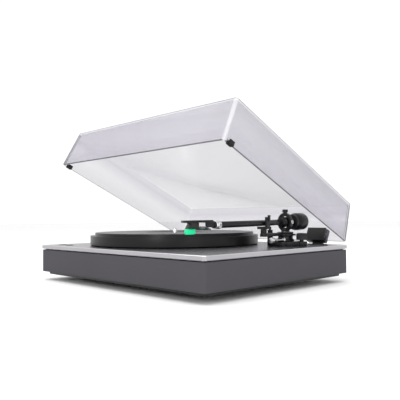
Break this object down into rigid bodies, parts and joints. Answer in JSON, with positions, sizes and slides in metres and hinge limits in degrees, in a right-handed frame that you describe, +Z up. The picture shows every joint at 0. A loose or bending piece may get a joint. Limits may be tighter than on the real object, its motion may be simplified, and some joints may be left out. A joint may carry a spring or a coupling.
{
  "type": "turntable record player",
  "caption": "Belt-driven turntable with a thick metal top plate, stepped platter, straight gimbal tonearm and a hinged clear lid.",
  "frame": {"origin": "under the middle of the whole object with its lid at rest, on the surface that it stands on", "axes": "+X to the right seen from the front, +Y to the rear, +Z up"},
  "size_m": [0.435, 0.3778, 0.2798],
  "materials": {
    "plinth_paint": "satin painted",
    "plate_metal": "satin",
    "black_plastic": "moulded",
    "black_metal": "satin anodised",
    "tube_metal": "satin anodised",
    "steel": "polished",
    "brass": "turned",
    "rubber": "matte",
    "platter_black": "turned",
    "stylus_green": "gloss",
    "board_green": "lacquered",
    "clear_lid": "gloss"
  },
  "bodies": {
    "chassis": {"plinth": "plinth_paint", "top_plate": "plate_metal", "bottom_cover": "black_plastic", "foot_front_left": "rubber", "foot_front_right": "rubber", "foot_rear_left": "rubber", "foot_rear_right": "rubber", "rear_panel": "black_plastic", "signal_jack_left": "brass", "signal_jack_right": "brass", "earth_post": "steel", "power_inlet": "black_plastic", "bearing_housing": "brass", "thrust_ball": "steel", "drive_belt": "rubber", "motor": "steel", "motor_bracket": "steel", "circuit_board": "board_green", "arm_base": "black_metal", "arm_pillar": "black_metal", "lower_swing_bearing": "steel", "upper_swing_bearing": "steel", "lift_post": "black_metal", "cradle_bracket": "black_metal", "arm_cradle": "black_plastic", "hinge_base_left": "black_metal", "hinge_base_right": "black_metal", "hinge_pin_left": "steel", "hinge_pin_right": "steel"},
    "platter": {"spindle": "steel", "sub_platter": "black_plastic", "platter": "platter_black"},
    "motor_rotor": {"motor_shaft": "steel", "motor_pulley": "brass"},
    "power_button": {"power_button": "black_plastic"},
    "speed_button": {"speed_button": "black_plastic"},
    "arm_yoke": {"swing_shaft": "steel", "arm_yoke": "black_metal", "pivot_screw_left": "steel", "pivot_screw_right": "steel"},
    "tonearm": {"bearing_block": "tube_metal", "arm_tube": "tube_metal", "weight_stub": "steel", "headshell": "tube_metal", "finger_lift": "tube_metal", "cartridge": "black_plastic", "stylus": "stylus_green"},
    "locking_collar": {"locking_collar": "steel"},
    "weight_bush": {"weight_bush": "black_plastic"},
    "force_dial": {"force_dial": "black_plastic"},
    "counterweight": {"counterweight": "tube_metal"},
    "lift_bar": {"lift_bar": "black_metal"},
    "cue_lever": {"cue_lever": "steel"},
    "cradle_latch": {"cradle_latch": "black_plastic"},
    "anti_skate_dial": {"anti_skate_dial": "black_plastic"},
    "lid": {"lid": "clear_lid", "lid_clamp_left": "black_plastic", "lid_clamp_right": "black_plastic", "lid_bumper_left": "rubber", "lid_bumper_right": "rubber"}
  },
  "joints": [
    {"name": "lid_hinge", "type": "hinge", "parent": "chassis", "child": "lid", "pos_m": [0, 0.16656, 0.0577], "axis": [-1, 0, 0], "range_deg": [-25.74, 39.26]},
    {"name": "platter_spin", "type": "hinge", "parent": "chassis", "child": "platter", "pos_m": [-0.044, -0.00894, 0.076], "axis": [0, 0, 1], "continuous": true},
    {"name": "pulley_spin", "type": "hinge", "parent": "chassis", "child": "motor_rotor", "pos_m": [-0.11445, -0.05827, 0.069], "axis": [0, 0, 1], "continuous": true},
    {"name": "power_press", "type": "slide", "parent": "chassis", "child": "power_button", "axis": [0, 0, -1], "range_m": [0, 0.0015], "stiffness_N_per_m": 300, "springref_m": -0.0005},
    {"name": "speed_press", "type": "slide", "parent": "chassis", "child": "speed_button", "axis": [0, 0, -1], "range_m": [0, 0.0015], "stiffness_N_per_m": 300, "springref_m": -0.0005},
    {"name": "arm_swing", "type": "hinge", "parent": "chassis", "child": "arm_yoke", "pos_m": [0.15, 0.07206, 0.1035], "axis": [0, 0, -1], "range_deg": [0, 55]},
    {"name": "arm_lift", "type": "hinge", "parent": "arm_yoke", "child": "tonearm", "pos_m": [0.15, 0.07206, 0.1035], "axis": [-0.9969, -0.0785, 0], "range_deg": [-0.45, 6]},
    {"name": "collar_turn", "type": "hinge", "parent": "tonearm", "child": "locking_collar", "pos_m": [0.15, 0.07206, 0.1035], "axis": [0.0785, -0.9968, -0.0122], "range_deg": [0, 40]},
    {"name": "weight_slide", "type": "slide", "parent": "tonearm", "child": "weight_bush", "axis": [0.0785, -0.9968, -0.0122], "range_m": [-0.002, 0.002]},
    {"name": "weight_turn", "type": "hinge", "parent": "weight_bush", "child": "counterweight", "pos_m": [0.15, 0.07206, 0.1035], "axis": [0.0785, -0.9968, -0.0122], "range_deg": [-722, 722]},
    {"name": "force_dial_turn", "type": "hinge", "parent": "weight_bush", "child": "force_dial", "pos_m": [0.15, 0.07206, 0.1035], "axis": [0.0785, -0.9968, -0.0122], "continuous": true},
    {"name": "cue_lever_turn", "type": "hinge", "parent": "chassis", "child": "cue_lever", "pos_m": [0.15, 0.04706, 0.0745], "axis": [-1, 0, 0], "range_deg": [0, 60.3]},
    {"name": "lift_rise", "type": "slide", "parent": "chassis", "child": "lift_bar", "axis": [0, 0, 1], "range_m": [0, 0.0035]},
    {"name": "latch_turn", "type": "hinge", "parent": "chassis", "child": "cradle_latch", "pos_m": [0.16278, 0.00786, 0.1093], "axis": [0.0785, -0.9969, 0], "range_deg": [0, 90]},
    {"name": "anti_skate_turn", "type": "hinge", "parent": "chassis", "child": "anti_skate_dial", "pos_m": [0.179, 0.07806, 0.0785], "axis": [0, 0, 1], "range_deg": [0, 270]}
  ],
  "couplings": [
    {"joint": "pulley_spin", "follows": "platter_spin", "ratio": 12.727},
    {"joint": "cue_lever_turn", "follows": "lift_rise", "rad_per_m": 299.2},
    {"joint": "weight_turn", "follows": "weight_slide", "rad_per_m": 6283.2}
  ]
}
